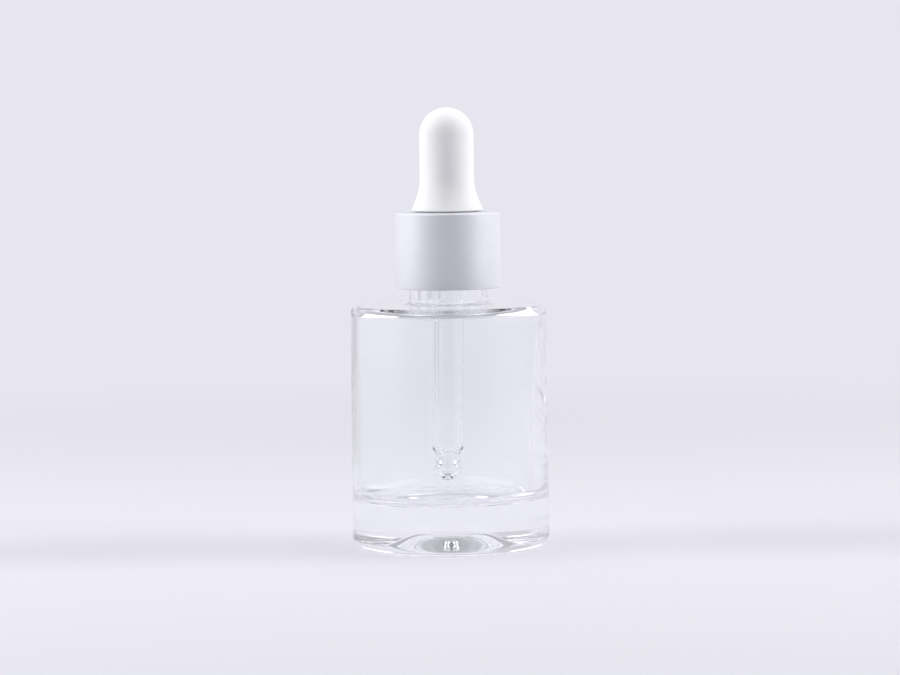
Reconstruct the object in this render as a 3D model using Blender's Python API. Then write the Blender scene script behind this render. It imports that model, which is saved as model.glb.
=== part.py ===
"""Clear glass dropper bottle with a screw collar, a squeeze bulb and a glass pipette.

Metres, +Z up. The origin is the centre of the circle that the bottle stands on.
"""

import math

import bmesh
import bpy

# General
GAP = 0.0003  # between pieces that touch
SEGMENTS = 40  # sides of a turned piece
PIPETTE_SEGMENTS = 24
ARC_STEPS = 4  # straight sides of a quarter round

# Bottle body
BODY_RADIUS = 0.0196  # at the heel
BODY_DRAFT = 0.0002  # the body is narrower at the shoulder by this much
SHOULDER_HEIGHT = 0.0484
SHOULDER_CORNER = 0.0015
HEEL_RADIUS = 0.0020
BODY_WALL = 0.0022
SHOULDER_WALL = 0.0013
BASE_THICKNESS = 0.0094  # from the table to the floor of the liquid space
FLOOR_CORNER = 0.0020
CEILING_CORNER = 0.0011
BEARING_INNER_RADIUS = 0.0140  # the ring that the bottle stands on starts here
RING_RISE = 0.0003  # the underside stands off the table inside the ring
PUSH_UP_FOOT_RADIUS = 0.0105  # the rise in the middle of the underside starts here
PUSH_UP_TOP_RADIUS = 0.0035  # and it is flat inside this
PUSH_UP_HEIGHT = 0.0032
PUSH_UP_STEPS = 6

# Bottle neck
NECK_RADIUS = 0.0078  # at the root of the thread
NECK_FILLET = 0.0008
FINISH_HEIGHT = 0.0141  # from the shoulder to the lip
BORE_CORNER = 0.0008
LIP_ROUND = 0.0006

# Thread, on the neck and in the collar
THREAD_PITCH = 0.0254 / 12
THREAD_DEPTH = 0.0010
THREAD_TURNS = 1.5
THREAD_BASE_WIDTH = 0.0009
THREAD_CREST_WIDTH = 0.0004
THREAD_SINK = 0.0003  # how deep the ridge is set into its wall, so that the two join
THREAD_STEPS_A_TURN = 36
THREAD_TAPER_STEPS = 4  # the ridge fades out over this many steps at each end
THREAD_BELOW_LIP = 0.0018  # from the lip down to the middle of the ridge's top end

# Collar: a threaded inner collar in a thin outer sleeve
COLLAR_ABOVE_SHOULDER = 0.0031  # the strip of bare glass under the collar
SLEEVE_SHEET = 0.0004
SLEEVE_EDGE_ROUND = 0.0003
INNER_COLLAR_WALL = 0.0006
INNER_COLLAR_WEB = 0.0009

# Gasket and neck wiper
GASKET_THICKNESS = 0.0006
GASKET_INSET = 0.0004  # its edge lies this far inside the neck's outer wall
WIPER_WALL = 0.0005
WIPER_HEIGHT = 0.0070
WIPER_EDGE = 0.0006  # thickness of the wiping edge
WIPER_REACH = 0.0003  # how far the wiping edge stands in from the wiper's wall
WIPER_RIM = 0.0002  # how far the rim stands out into the rounding of the lip
WIPER_CHAMFER = 0.0003

# Bulb
BULB_ROOM = 0.00045  # between the pipette's bead and the bulb's wall
BULB_HEIGHT = 0.0206  # above the collar
BULB_WALL = 0.0013
BULB_GROOVE_WALL = 0.0019
BULB_SKIRT_REACH = 0.0014  # how far the skirt covers the collar's top
BULB_SKIRT_EDGE = 0.0004
BULB_FLARE_HEIGHT = 0.0056
BULB_FLARE_ROUND = 0.35  # share of the flare's height that is rounded
BULB_FLARE_STEPS = 5
BULB_FLANGE_INSET = 0.0002  # its edge lies this far inside the neck's outer wall
BULB_FLANGE = 0.0009
BULB_SEAT_HEIGHT = 0.0045  # above the collar: the ledge that the pipette's bead rests on

# Pipette
PIPETTE_RADIUS = 0.0031
PIPETTE_WALL = 0.0009
PIPETTE_TIP_CLEARANCE = 0.0031  # from the liquid space's floor to the tip
BEAD_HEIGHT = 0.0010
BEAD_STAND_OUT = 0.0005
TIP_NECK_INSET = 0.0007  # the tip's neck is narrower than the tube by this much
TIP_NECK_WALL = 0.0011
TIP_NECK_LENGTH = 0.0022
TIP_BALL_INSET = 0.00026  # the ball passes wherever the tube does
TIP_BALL_HALF_HEIGHT = 0.0023
TIP_BALL_WALL = 0.0009
TIP_OPENING_RADIUS = 0.0006

# Heights that follow from the sizes above, going up
LIP_HEIGHT = SHOULDER_HEIGHT + FINISH_HEIGHT
GASKET_BOTTOM = LIP_HEIGHT + GAP
FLANGE_BOTTOM = GASKET_BOTTOM + GASKET_THICKNESS + GAP
INNER_WEB_BOTTOM = FLANGE_BOTTOM + BULB_FLANGE + GAP
INNER_COLLAR_TOP = INNER_WEB_BOTTOM + INNER_COLLAR_WEB
COLLAR_TOP = INNER_COLLAR_TOP + GAP + SLEEVE_SHEET
COLLAR_BOTTOM = SHOULDER_HEIGHT + COLLAR_ABOVE_SHOULDER
SKIRT_BOTTOM = COLLAR_TOP + GAP
BULB_TOP = COLLAR_TOP + BULB_HEIGHT
BULB_SEAT = COLLAR_TOP + BULB_SEAT_HEIGHT
PIPETTE_BOTTOM = BASE_THICKNESS + PIPETTE_TIP_CLEARANCE
THREAD_TOP = LIP_HEIGHT - THREAD_BELOW_LIP

# Radii that follow, going outward
CAVITY_RADIUS = BODY_RADIUS - BODY_WALL
PIPETTE_HOLE_RADIUS = PIPETTE_RADIUS + GAP
TIP_NECK_RADIUS = PIPETTE_RADIUS - TIP_NECK_INSET
TIP_BALL_RADIUS = PIPETTE_RADIUS - TIP_BALL_INSET
WIPER_RADIUS = PIPETTE_HOLE_RADIUS + WIPER_REACH + WIPER_WALL
BORE_RADIUS = WIPER_RADIUS + GAP
BULB_RADIUS = PIPETTE_RADIUS + BEAD_STAND_OUT + BULB_ROOM + BULB_WALL
BULB_GROOVE_RADIUS = PIPETTE_HOLE_RADIUS + BULB_GROOVE_WALL
COLLAR_HOLE_RADIUS = BULB_GROOVE_RADIUS + GAP
BULB_SKIRT_RADIUS = COLLAR_HOLE_RADIUS + BULB_SKIRT_REACH
GASKET_RADIUS = NECK_RADIUS - GASKET_INSET
BULB_FLANGE_RADIUS = NECK_RADIUS - BULB_FLANGE_INSET
INNER_COLLAR_BORE = NECK_RADIUS + THREAD_DEPTH + GAP
INNER_COLLAR_RADIUS = INNER_COLLAR_BORE + INNER_COLLAR_WALL
SLEEVE_INNER_RADIUS = INNER_COLLAR_RADIUS + GAP
COLLAR_RADIUS = SLEEVE_INNER_RADIUS + SLEEVE_SHEET


def clear_scene():
    for obj in list(bpy.data.objects):
        bpy.data.objects.remove(obj, do_unlink=True)


def make_material(name, color, roughness, transmission=0.0, ior=1.5):
    material = bpy.data.materials.new(name)
    material.use_nodes = True
    shader = material.node_tree.nodes["Principled BSDF"]
    shader.inputs["Base Color"].default_value = (*color, 1.0)
    shader.inputs["Roughness"].default_value = roughness
    shader.inputs["Metallic"].default_value = 0.0
    shader.inputs["Transmission Weight"].default_value = transmission
    shader.inputs["IOR"].default_value = ior
    return material


def arc(center, radii, start, end, steps=ARC_STEPS):
    """Points (radius, height) along an elliptical arc, between two angles in degrees."""
    points = []
    for step in range(steps + 1):
        angle = math.radians(start + (end - start) * step / steps)
        points.append((center[0] + radii[0] * math.cos(angle), center[1] + radii[1] * math.sin(angle)))
    return points


def round_arc(center, radius, start, end, steps=ARC_STEPS):
    return arc(center, (radius, radius), start, end, steps)


def link_mesh(name, mesh, material=None):
    obj = bpy.data.objects.new(name, mesh)
    bpy.context.scene.collection.objects.link(obj)
    if material:
        mesh.materials.append(material)
    return obj


def turned_piece(name, profile, datum, material, closed=True, segments=SEGMENTS):
    """Turns a profile about the Z axis. Its outer side runs down; an open one starts and ends on the axis."""
    mesh = bpy.data.meshes.new(name)
    shape = bmesh.new()
    verts = [shape.verts.new((radius, 0.0, height - datum)) for radius, height in profile]
    for first, second in zip(verts, verts[1:]):
        shape.edges.new((first, second))
    if closed:
        shape.edges.new((verts[-1], verts[0]))
    shape.to_mesh(mesh)
    shape.free()
    piece = link_mesh(name, mesh, material)
    piece.location = (0.0, 0.0, datum)
    turn = piece.modifiers.new("Turn", "SCREW")
    turn.axis = "Z"
    turn.angle = math.tau
    turn.steps = segments
    turn.render_steps = segments
    turn.use_merge_vertices = True
    turn.merge_threshold = 0.00001
    turn.use_smooth_shade = True
    return piece


def thread_ridge(name, wall_radius, outward, turn_at_start, datum):
    """A right-hand helical ridge on a wall: outward is 1 for the neck and -1 for the collar."""
    steps = round(THREAD_TURNS * THREAD_STEPS_A_TURN)
    root = wall_radius - outward * THREAD_SINK
    shape = bmesh.new()
    sections = []
    for step in range(steps + 1):
        turn = step / THREAD_STEPS_A_TURN
        share = min(1.0, step / THREAD_TAPER_STEPS, (steps - step) / THREAD_TAPER_STEPS)
        rise = THREAD_DEPTH * share - THREAD_SINK / 2 * (1.0 - share)
        crest = wall_radius + outward * rise
        angle = (turn + turn_at_start) * math.tau
        middle = THREAD_TOP - (THREAD_TURNS - turn) * THREAD_PITCH - datum
        corners = (
            (root, middle - THREAD_BASE_WIDTH / 2),
            (crest, middle - THREAD_CREST_WIDTH / 2),
            (crest, middle + THREAD_CREST_WIDTH / 2),
            (root, middle + THREAD_BASE_WIDTH / 2),
        )
        sections.append([
            shape.verts.new((radius * math.cos(angle), radius * math.sin(angle), height))
            for radius, height in corners
        ])
    for first, second in zip(sections, sections[1:]):
        for side in range(4):
            after = (side + 1) % 4
            shape.faces.new((first[side], first[after], second[after], second[side]))
    shape.faces.new(sections[0])
    shape.faces.new(sections[-1])
    bmesh.ops.recalc_face_normals(shape, faces=shape.faces)
    mesh = bpy.data.meshes.new(name)
    shape.to_mesh(mesh)
    shape.free()
    ridge = link_mesh(name, mesh)
    ridge.hide_render = True
    ridge.display_type = "WIRE"
    return ridge


def join_ridge(piece, ridge):
    """Makes the thread part of the piece, which it moves with."""
    ridge.parent = piece
    union = piece.modifiers.new("Thread", "BOOLEAN")
    union.operation = "UNION"
    union.solver = "EXACT"
    union.object = ridge


def push_up_points():
    """The underside from the bearing ring to the axis: a flat, a smooth rise and a flat top."""
    points = [(BEARING_INNER_RADIUS, 0.0), (BEARING_INNER_RADIUS - RING_RISE, RING_RISE)]
    for step in range(PUSH_UP_STEPS + 1):
        share = step / PUSH_UP_STEPS
        radius = PUSH_UP_FOOT_RADIUS + (PUSH_UP_TOP_RADIUS - PUSH_UP_FOOT_RADIUS) * share
        rise = (PUSH_UP_HEIGHT - RING_RISE) * (1 - math.cos(math.pi * share)) / 2
        points.append((radius, RING_RISE + rise))
    return points + [(0.0, PUSH_UP_HEIGHT)]


def make_bottle(material):
    ceiling = SHOULDER_HEIGHT - SHOULDER_WALL
    floor_corner = (CAVITY_RADIUS - FLOOR_CORNER, BASE_THICKNESS + FLOOR_CORNER)
    ceiling_corner = (CAVITY_RADIUS - CEILING_CORNER, ceiling - CEILING_CORNER)
    bore_corner = (BORE_RADIUS + BORE_CORNER, ceiling + BORE_CORNER)
    lip_inside = (BORE_RADIUS + LIP_ROUND, LIP_HEIGHT - LIP_ROUND)
    lip_outside = (NECK_RADIUS - LIP_ROUND, LIP_HEIGHT - LIP_ROUND)
    neck_foot = (NECK_RADIUS + NECK_FILLET, SHOULDER_HEIGHT + NECK_FILLET)
    shoulder_edge = BODY_RADIUS - BODY_DRAFT
    shoulder_corner = (shoulder_edge - SHOULDER_CORNER, SHOULDER_HEIGHT - SHOULDER_CORNER)
    heel = (BODY_RADIUS - HEEL_RADIUS, HEEL_RADIUS)
    profile = [(0.0, BASE_THICKNESS)]
    profile += round_arc(floor_corner, FLOOR_CORNER, -90, 0)
    profile += round_arc(ceiling_corner, CEILING_CORNER, 0, 90)
    profile += round_arc(bore_corner, BORE_CORNER, -90, -180, 2)
    profile += round_arc(lip_inside, LIP_ROUND, 180, 90, 2)
    profile += round_arc(lip_outside, LIP_ROUND, 90, 0, 2)
    profile += round_arc(neck_foot, NECK_FILLET, 180, 270, 2)
    profile += round_arc(shoulder_corner, SHOULDER_CORNER, 90, 0)
    profile += round_arc(heel, HEEL_RADIUS, 0, -90)
    profile += push_up_points()
    bottle = turned_piece("bottle", profile, 0.0, material, closed=False)
    join_ridge(bottle, thread_ridge("neck_thread_shape", NECK_RADIUS, 1, 0.0, 0.0))
    return bottle


def make_neck_wiper(material):
    inner = WIPER_RADIUS - WIPER_WALL
    top = LIP_HEIGHT - GAP
    bottom = top - WIPER_HEIGHT
    profile = [
        (WIPER_RADIUS + WIPER_RIM, top),
        (WIPER_RADIUS, top - LIP_ROUND),
        (WIPER_RADIUS, bottom + WIPER_CHAMFER),
        (WIPER_RADIUS - WIPER_CHAMFER, bottom),
        (PIPETTE_HOLE_RADIUS, bottom),
        (PIPETTE_HOLE_RADIUS, bottom + WIPER_EDGE),
        (inner, bottom + 2 * WIPER_EDGE),
        (inner, top),
    ]
    return turned_piece("neck_wiper", profile, bottom, material)


def make_seal_gasket(material):
    top = GASKET_BOTTOM + GASKET_THICKNESS
    profile = [
        (PIPETTE_HOLE_RADIUS, top),
        (GASKET_RADIUS, top),
        (GASKET_RADIUS, GASKET_BOTTOM),
        (PIPETTE_HOLE_RADIUS, GASKET_BOTTOM),
    ]
    return turned_piece("seal_gasket", profile, GASKET_BOTTOM, material)


def make_threaded_collar(material):
    bottom = COLLAR_BOTTOM + GAP
    profile = [
        (COLLAR_HOLE_RADIUS, INNER_COLLAR_TOP),
        (INNER_COLLAR_RADIUS - GAP, INNER_COLLAR_TOP),
        (INNER_COLLAR_RADIUS, INNER_COLLAR_TOP - GAP),
        (INNER_COLLAR_RADIUS, bottom),
        (INNER_COLLAR_BORE, bottom),
        (INNER_COLLAR_BORE, INNER_WEB_BOTTOM),
        (COLLAR_HOLE_RADIUS, INNER_WEB_BOTTOM),
    ]
    collar = turned_piece("threaded_collar", profile, COLLAR_BOTTOM, material)
    ridge = thread_ridge("collar_thread_shape", INNER_COLLAR_BORE, -1, 0.5, COLLAR_BOTTOM)
    join_ridge(collar, ridge)
    return collar


def make_collar_sleeve(material):
    top_edge = (COLLAR_RADIUS - SLEEVE_EDGE_ROUND, COLLAR_TOP - SLEEVE_EDGE_ROUND)
    bottom_edge = (COLLAR_RADIUS - SLEEVE_EDGE_ROUND, COLLAR_BOTTOM + SLEEVE_EDGE_ROUND)
    profile = [(COLLAR_HOLE_RADIUS, COLLAR_TOP)]
    profile += round_arc(top_edge, SLEEVE_EDGE_ROUND, 90, 0, 2)
    profile += round_arc(bottom_edge, SLEEVE_EDGE_ROUND, 0, -90, 2)
    profile += [
        (SLEEVE_INNER_RADIUS, COLLAR_BOTTOM),
        (SLEEVE_INNER_RADIUS, COLLAR_TOP - SLEEVE_SHEET),
        (COLLAR_HOLE_RADIUS, COLLAR_TOP - SLEEVE_SHEET),
    ]
    return turned_piece("collar_sleeve", profile, COLLAR_BOTTOM, material)


def flare_points():
    """The bulb's side from its straight body out to the skirt: a rounded start, then a straight cone."""
    top = SKIRT_BOTTOM + BULB_SKIRT_EDGE + BULB_FLARE_HEIGHT
    slope = 1.0 / (1.0 - BULB_FLARE_ROUND / 2)
    points = []
    for step in range(BULB_FLARE_STEPS + 1):
        share = step / BULB_FLARE_STEPS
        if share < BULB_FLARE_ROUND:
            spread = slope * share**2 / (2 * BULB_FLARE_ROUND)
        else:
            spread = slope * (share - BULB_FLARE_ROUND / 2)
        radius = BULB_RADIUS + (BULB_SKIRT_RADIUS - BULB_RADIUS) * spread
        points.append((radius, top - share * BULB_FLARE_HEIGHT))
    return points


def make_bulb(material):
    hollow = BULB_RADIUS - BULB_WALL
    dome_center = (0.0, BULB_TOP - BULB_RADIUS)
    profile = [(0.0, BULB_TOP)]
    profile += round_arc(dome_center, BULB_RADIUS, 90, 0, 6)[1:]
    profile += flare_points()
    profile += [
        (BULB_SKIRT_RADIUS, SKIRT_BOTTOM),
        (BULB_GROOVE_RADIUS, SKIRT_BOTTOM),
        (BULB_GROOVE_RADIUS, FLANGE_BOTTOM + BULB_FLANGE),
        (BULB_FLANGE_RADIUS, FLANGE_BOTTOM + BULB_FLANGE),
        (BULB_FLANGE_RADIUS, FLANGE_BOTTOM),
        (PIPETTE_HOLE_RADIUS, FLANGE_BOTTOM),
        (PIPETTE_HOLE_RADIUS, BULB_SEAT),
        (hollow, BULB_SEAT),
    ]
    profile += round_arc(dome_center, hollow, 0, 90)[:-1]
    profile += [(0.0, dome_center[1] + hollow)]
    return turned_piece("bulb", profile, COLLAR_TOP, material, closed=False)


def angle_on(ellipse_radius, radius):
    """The angle in degrees at which a point on an ellipse is this far from its axis."""
    return math.degrees(math.acos(radius / ellipse_radius))


def make_pipette(material):
    bore = PIPETTE_RADIUS - PIPETTE_WALL
    tip_bore = TIP_NECK_RADIUS - TIP_NECK_WALL
    bead_bottom = BULB_SEAT + GAP
    top = bead_bottom + BEAD_HEIGHT
    ball = (0.0, PIPETTE_BOTTOM + TIP_BALL_HALF_HEIGHT)
    ball_radii = (TIP_BALL_RADIUS, TIP_BALL_HALF_HEIGHT)
    hollow_radii = (TIP_BALL_RADIUS - TIP_BALL_WALL, TIP_BALL_HALF_HEIGHT - TIP_BALL_WALL)
    ball_start = angle_on(TIP_BALL_RADIUS, TIP_NECK_RADIUS)
    ball_end = angle_on(TIP_BALL_RADIUS, 2 * TIP_OPENING_RADIUS)
    hollow_start = angle_on(hollow_radii[0], TIP_OPENING_RADIUS)
    hollow_end = angle_on(hollow_radii[0], tip_bore)
    neck_bottom = ball[1] + TIP_BALL_HALF_HEIGHT * math.sin(math.radians(ball_start))
    neck_top = neck_bottom + TIP_NECK_LENGTH
    shoulder = PIPETTE_RADIUS - TIP_NECK_RADIUS
    tube_bottom = neck_top + shoulder
    bead = (PIPETTE_RADIUS, top - BEAD_HEIGHT / 2)
    profile = [(bore, top)]
    profile += arc(bead, (BEAD_STAND_OUT, BEAD_HEIGHT / 2), 90, -90)
    profile += round_arc((TIP_NECK_RADIUS, tube_bottom), shoulder, 0, -90, 3)
    profile += arc(ball, ball_radii, ball_start, -ball_end, 6)
    profile += arc(ball, hollow_radii, -hollow_start, hollow_end, 4)
    profile += [(tip_bore, neck_top), (bore, tube_bottom + shoulder)]
    return turned_piece("pipette", profile, PIPETTE_BOTTOM, material, segments=PIPETTE_SEGMENTS)


def make_axis(name, height):
    """An empty on the closure's axis that pieces which move together hang on."""
    axis = bpy.data.objects.new(name, None)
    axis.location = (0.0, 0.0, height)
    bpy.context.scene.collection.objects.link(axis)
    return axis


def hang(child, axis):
    child.parent = axis
    child.location.z -= axis.location.z


def build():
    clear_scene()
    glass = make_material("clear_glass", (1.0, 1.0, 1.0), 0.02, transmission=1.0, ior=1.52)
    pipette_glass = make_material("pipette_glass", (1.0, 1.0, 1.0), 0.02, transmission=1.0, ior=1.47)
    rubber = make_material("white_silicone", (0.90, 0.90, 0.90), 0.6)
    satin_white = make_material("satin_white", (0.80, 0.81, 0.85), 0.4)
    white_plastic = make_material("white_polypropylene", (0.85, 0.85, 0.86), 0.45)
    gasket_foam = make_material("gasket_polyethylene", (0.82, 0.82, 0.82), 0.6)
    wiper_plastic = make_material("wiper_polyethylene", (0.88, 0.88, 0.88), 0.5)

    make_bottle(glass)
    make_neck_wiper(wiper_plastic)
    dropper_axis = make_axis("dropper_axis", LIP_HEIGHT)
    collar_axis = make_axis("collar_axis", COLLAR_BOTTOM)
    hang(make_seal_gasket(gasket_foam), dropper_axis)
    hang(make_pipette(pipette_glass), dropper_axis)
    hang(make_bulb(rubber), dropper_axis)
    hang(make_threaded_collar(white_plastic), collar_axis)
    hang(make_collar_sleeve(satin_white), collar_axis)
    hang(collar_axis, dropper_axis)


build()
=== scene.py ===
"""A dropper bottle: clear glass bottle, screw collar in a satin sleeve, soft squeeze bulb and glass pipette.

Metres, +Z up. The bottle stands on the origin and everything turns about the Z axis.
"""

import math

import bmesh
import bpy
from mathutils import Matrix, Vector
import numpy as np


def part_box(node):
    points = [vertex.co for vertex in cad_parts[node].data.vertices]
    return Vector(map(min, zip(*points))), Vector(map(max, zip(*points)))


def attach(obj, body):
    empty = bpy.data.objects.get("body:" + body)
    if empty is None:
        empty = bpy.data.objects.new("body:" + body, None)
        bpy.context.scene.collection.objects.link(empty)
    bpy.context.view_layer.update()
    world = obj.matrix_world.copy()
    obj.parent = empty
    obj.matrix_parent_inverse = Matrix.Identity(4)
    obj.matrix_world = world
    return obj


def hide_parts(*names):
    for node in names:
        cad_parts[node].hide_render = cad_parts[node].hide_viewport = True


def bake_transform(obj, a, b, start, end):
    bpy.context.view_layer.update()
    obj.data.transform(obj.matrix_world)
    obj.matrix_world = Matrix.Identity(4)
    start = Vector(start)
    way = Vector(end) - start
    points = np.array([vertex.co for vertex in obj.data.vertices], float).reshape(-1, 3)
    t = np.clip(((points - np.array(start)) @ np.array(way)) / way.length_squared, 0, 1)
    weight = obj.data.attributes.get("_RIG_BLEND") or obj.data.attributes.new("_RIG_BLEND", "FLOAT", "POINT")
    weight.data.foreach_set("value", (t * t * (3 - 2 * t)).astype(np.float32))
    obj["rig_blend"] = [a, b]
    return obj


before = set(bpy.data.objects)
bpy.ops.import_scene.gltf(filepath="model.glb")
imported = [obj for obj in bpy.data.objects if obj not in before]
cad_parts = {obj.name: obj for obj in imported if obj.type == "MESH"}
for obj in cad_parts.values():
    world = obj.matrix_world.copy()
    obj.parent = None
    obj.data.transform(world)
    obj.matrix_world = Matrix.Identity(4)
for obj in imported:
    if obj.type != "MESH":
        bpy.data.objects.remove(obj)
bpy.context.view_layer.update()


# ------------------------------------------------------------------------------------------------
# Bottle: clear soda-lime glass, blown in a two-part mould with a heavy base. The screw thread, the
# recessed underside and the stippled ring that it stands on come out of the mould with it.
# ------------------------------------------------------------------------------------------------

_, bottle_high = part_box("bottle")
body_radius = bottle_high[0]
lip_height = bottle_high[2]
body_draft = 0.0002
rim_height = 0.0482
shoulder_slope = 1.0  # degrees, down from the neck to the rim
shoulder_round = 0.0015
heel_round = 0.0020
floor_height = 0.0094
floor_round = 0.0026
floor_dish = 0.0003
ceiling_height = 0.0471
ceiling_round = 0.0011
cavity_radius_low = 0.0172
cavity_radius_high = 0.0182
cavity_shift_low = -0.0012  # the glass ran thicker on one side, so the hollow stands off the axis
cavity_shift_high = -0.0001
cavity_wave = 0.00006
cavity_wave_turn = 9.0  # radians, from the floor to the ceiling
cavity_wave_start = 0.5
settle_start = ceiling_height - 0.0004  # from here up the hollow comes back to the axis
settle_height = 0.0012
neck_radius = 0.0078
neck_fillet = 0.0008
bore_radius = 0.0045
bore_round = 0.0008
lip_round = 0.0006
ring_inner_radius = 0.0140
ring_corner = 0.0003
ring_rise = 0.0003  # the underside stands off the table inside the ring
push_up_foot_radius = 0.0105
push_up_top_radius = 0.0035
push_up_height = 0.0032
bottle_segments = 288
ring_segments = 864

thread_pitch = 0.0254 / 12
thread_turns = 1.5
thread_below_lip = 0.0018
thread_top = lip_height - thread_below_lip
thread_rows = 44
thread_margin = 0.6  # turns that the fine rows go on for below the thread's end
touching = 0.00002  # surfaces closer than this count as one


def round_arc(center, radius, start, end, steps=8):
    """Points (distance from the axis, height) round a corner, between two angles in degrees."""
    points = []
    for step in range(steps + 1):
        angle = math.radians(start + (end - start) * step / steps)
        points.append((center[0] + radius * math.cos(angle), center[1] + radius * math.sin(angle)))
    return points


def straight(start, end, steps):
    """Points between two others, without either of them."""
    points = []
    for step in range(1, steps):
        share = step / steps
        points.append((start[0] + (end[0] - start[0]) * share, start[1] + (end[1] - start[1]) * share))
    return points


def join_rings(shape, upper, lower):
    """Faces between two rings of vertices. One may be a single vertex, or have several times as many."""
    count = min(len(upper), len(lower)) if min(len(upper), len(lower)) > 1 else max(len(upper), len(lower))
    more_above = len(upper) // count
    more_below = len(lower) // count
    for segment in range(count):
        above = [upper[(segment * more_above + k) % len(upper)] for k in range(more_above + 1)]
        below = [lower[(segment * more_below + k) % len(lower)] for k in range(more_below + 1)]
        if len(upper) == 1:
            shape.faces.new((upper[0], below[0], below[1]))
        elif len(lower) == 1:
            shape.faces.new((above[0], lower[0], above[1]))
        elif more_above == more_below:
            shape.faces.new((above[0], below[0], below[1], above[1]))
        elif more_below > 1:
            middle = more_below // 2
            for k in range(more_below):
                tip = above[0] if k < max(middle, 1) else above[1]
                shape.faces.new((tip, below[k], below[k + 1]))
            shape.faces.new((above[0], below[max(middle, 1)], above[1]))
        else:
            middle = more_above // 2
            for k in range(more_above):
                tip = below[0] if k < max(middle, 1) else below[1]
                shape.faces.new((above[k], tip, above[k + 1]))
            shape.faces.new((below[0], below[1], above[max(middle, 1)]))


def turned_piece(name, profile, segments, closed=True, fine=(), fine_segments=0):
    """Turns a profile, whose outer side runs down, about the Z axis. Rows in fine get more segments."""
    shape = bmesh.new()
    rings = []
    for row, (radius, height) in enumerate(profile):
        count = 1 if radius < 1e-7 else fine_segments if row in fine else segments
        ring = []
        for segment in range(count):
            angle = math.tau * segment / count
            ring.append(shape.verts.new((radius * math.cos(angle), radius * math.sin(angle), height)))
        rings.append(ring)
    for upper, lower in zip(rings, rings[1:] + (rings[:1] if closed else [])):
        join_rings(shape, upper, lower)
    mesh = bpy.data.meshes.new(name)
    shape.to_mesh(mesh)
    shape.free()
    mesh.shade_smooth()
    piece = bpy.data.objects.new(name, mesh)
    bpy.context.scene.collection.objects.link(piece)
    return piece


def add_node(tree, kind, inputs=None, **settings):
    """Adds a node. Its inputs are given by name or number, as values or as other nodes' outputs."""
    node = tree.nodes.new(kind)
    for name, value in settings.items():
        setattr(node, name, value)
    for key, value in (inputs or {}).items():
        if isinstance(value, bpy.types.NodeSocket):
            tree.links.new(value, node.inputs[key])
        else:
            node.inputs[key].default_value = value
    return node


def calc(tree, operation, *values, clamp=False):
    """One Math node on numbers or other nodes' outputs."""
    inputs = dict(enumerate(values))
    return add_node(tree, "ShaderNodeMath", inputs, operation=operation, use_clamp=clamp).outputs[0]


def ramp(tree, value, low, high, to_low=0.0, to_high=1.0, smooth=True):
    """Maps a value from one range to another and stays at the ends."""
    kind = "SMOOTHSTEP" if smooth else "LINEAR"
    inputs = {"Value": value, "From Min": low, "From Max": high, "To Min": to_low, "To Max": to_high}
    return add_node(tree, "ShaderNodeMapRange", inputs, interpolation_type=kind).outputs[0]


def shape_tree(name, sizes):
    """A Geometry Nodes tree with a named input for each size. Returns the tree and its inputs' outputs."""
    tree = bpy.data.node_groups.new(name, "GeometryNodeTree")
    tree.interface.new_socket("Geometry", in_out="INPUT", socket_type="NodeSocketGeometry")
    for size in sizes:
        tree.interface.new_socket(size, in_out="INPUT", socket_type="NodeSocketFloat")
    tree.interface.new_socket("Material", in_out="INPUT", socket_type="NodeSocketMaterial")
    tree.interface.new_socket("Geometry", in_out="OUTPUT", socket_type="NodeSocketGeometry")
    return tree, tree.nodes.new("NodeGroupInput").outputs


def end_tree(tree, geometry, given):
    """Ends a tree in Realize Instances and Set Material."""
    real = add_node(tree, "GeometryNodeRealizeInstances", {"Geometry": geometry}).outputs[0]
    inputs = {"Geometry": real, "Material": given["Material"]}
    finished = add_node(tree, "GeometryNodeSetMaterial", inputs).outputs[0]
    add_node(tree, "NodeGroupOutput", {0: finished})
    return tree


def around_axis(tree):
    """The place of a point: its x and y as a vector, its distance from the axis, its turn and its height."""
    place = add_node(tree, "GeometryNodeInputPosition").outputs[0]
    parts = add_node(tree, "ShaderNodeSeparateXYZ", {0: place}).outputs
    flat = add_node(tree, "ShaderNodeCombineXYZ", {0: parts[0], 1: parts[1]}).outputs[0]
    radius = add_node(tree, "ShaderNodeVectorMath", {0: flat}, operation="LENGTH").outputs["Value"]
    turn = calc(tree, "DIVIDE", calc(tree, "ARCTAN2", parts[1], parts[0]), math.tau)
    return flat, radius, turn, parts[2]


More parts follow.
